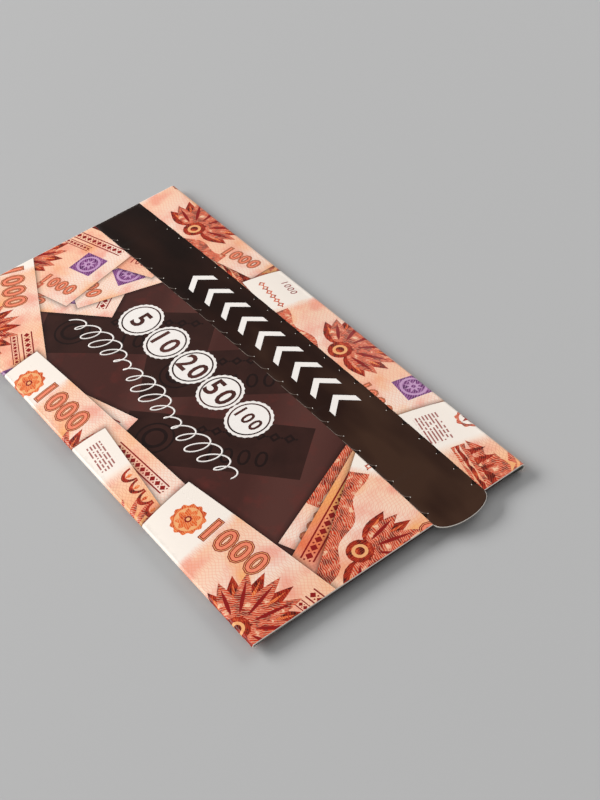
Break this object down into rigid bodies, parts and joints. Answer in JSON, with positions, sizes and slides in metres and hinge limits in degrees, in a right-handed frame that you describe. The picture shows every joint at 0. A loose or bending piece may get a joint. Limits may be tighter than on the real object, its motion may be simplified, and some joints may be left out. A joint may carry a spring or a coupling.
{
  "type": "money envelope",
  "caption": "Flat money envelope of folded printed card, bowed slightly, with a perforated tear-off strip ending in a rounded pull tab and a closing flap on its back.",
  "frame": {"origin": "on the flat of the back panel that the envelope rests on, under the centre of the folded outline", "axes": "+X along the long side towards the pull tab, +Y towards the long fold that carries the closing flap, +Z out of the printed front face"},
  "size_m": [0.1693, 0.085, 0.0046],
  "materials": {
    "dark_printed_card": "satin laminated print, dark maroon brown with pale note shapes at its edges",
    "note_printed_card": "satin laminated print, cream, peach and coral note pattern",
    "strip_card": "satin laminated print, dark brown, white board at its cut edge",
    "back_card": "satin laminated print, plain dark brown",
    "white_board": "uncoated white board",
    "adhesive": "dried clear adhesive",
    "liner_paper": "smooth silicone-coated paper"
  },
  "bodies": {
    "envelope": {"front_panel": "dark_printed_card", "header_band": "note_printed_card", "top_fold": "note_printed_card", "bottom_fold": "note_printed_card", "side_fold_left": "note_printed_card", "side_fold_right": "note_printed_card", "back_panel": "back_card", "side_flap_left": "white_board", "side_flap_right": "white_board", "glue_front_left": "adhesive", "glue_front_right": "adhesive", "glue_header_left": "adhesive", "glue_header_right": "adhesive"},
    "strip_5": {"tear_strip_5": "strip_card"},
    "strip_4": {"tear_strip_4": "strip_card"},
    "strip_3": {"tear_strip_3": "strip_card"},
    "strip_2": {"tear_strip_2": "strip_card"},
    "strip_1": {"tear_strip_1": "strip_card"},
    "tab": {"pull_tab": "strip_card"},
    "flap": {"closing_flap": "back_card", "seal_tape": "adhesive", "release_liner": "liner_paper"}
  },
  "joints": [
    {"name": "peel_5", "type": "hinge", "parent": "envelope", "child": "strip_5", "pos_m": [-0.0825, 0.02055, 0.00235], "axis": [0, -1, 0], "range_deg": [0, 45], "stiffness_Nm_per_rad": 0.002},
    {"name": "peel_4", "type": "hinge", "parent": "strip_5", "child": "strip_4", "pos_m": [-0.0495, 0.02055, 0.00377], "axis": [0, -0.9999, 0.0157], "range_deg": [0, 45], "stiffness_Nm_per_rad": 0.002},
    {"name": "peel_3", "type": "hinge", "parent": "strip_4", "child": "strip_3", "pos_m": [-0.0165, 0.02055, 0.00439], "axis": [0, -0.9997, 0.0225], "range_deg": [0, 45], "stiffness_Nm_per_rad": 0.002},
    {"name": "peel_2", "type": "hinge", "parent": "strip_3", "child": "strip_2", "pos_m": [0.0165, 0.02055, 0.00439], "axis": [0, -0.9997, 0.0225], "range_deg": [0, 45], "stiffness_Nm_per_rad": 0.002},
    {"name": "peel_1", "type": "hinge", "parent": "strip_2", "child": "strip_1", "pos_m": [0.0495, 0.02055, 0.00377], "axis": [0, -0.9999, 0.0157], "range_deg": [0, 45], "stiffness_Nm_per_rad": 0.002},
    {"name": "tab_bend", "type": "hinge", "parent": "strip_1", "child": "tab", "pos_m": [0.0825, 0.02055, 0.00235], "axis": [0, -1, 0], "range_deg": [-25, 70], "stiffness_Nm_per_rad": 0.001},
    {"name": "flap_open", "type": "hinge", "parent": "envelope", "child": "flap", "pos_m": [0, 0.04128, -0.00003], "axis": [1, 0, 0], "range_deg": [0, 180]}
  ]
}
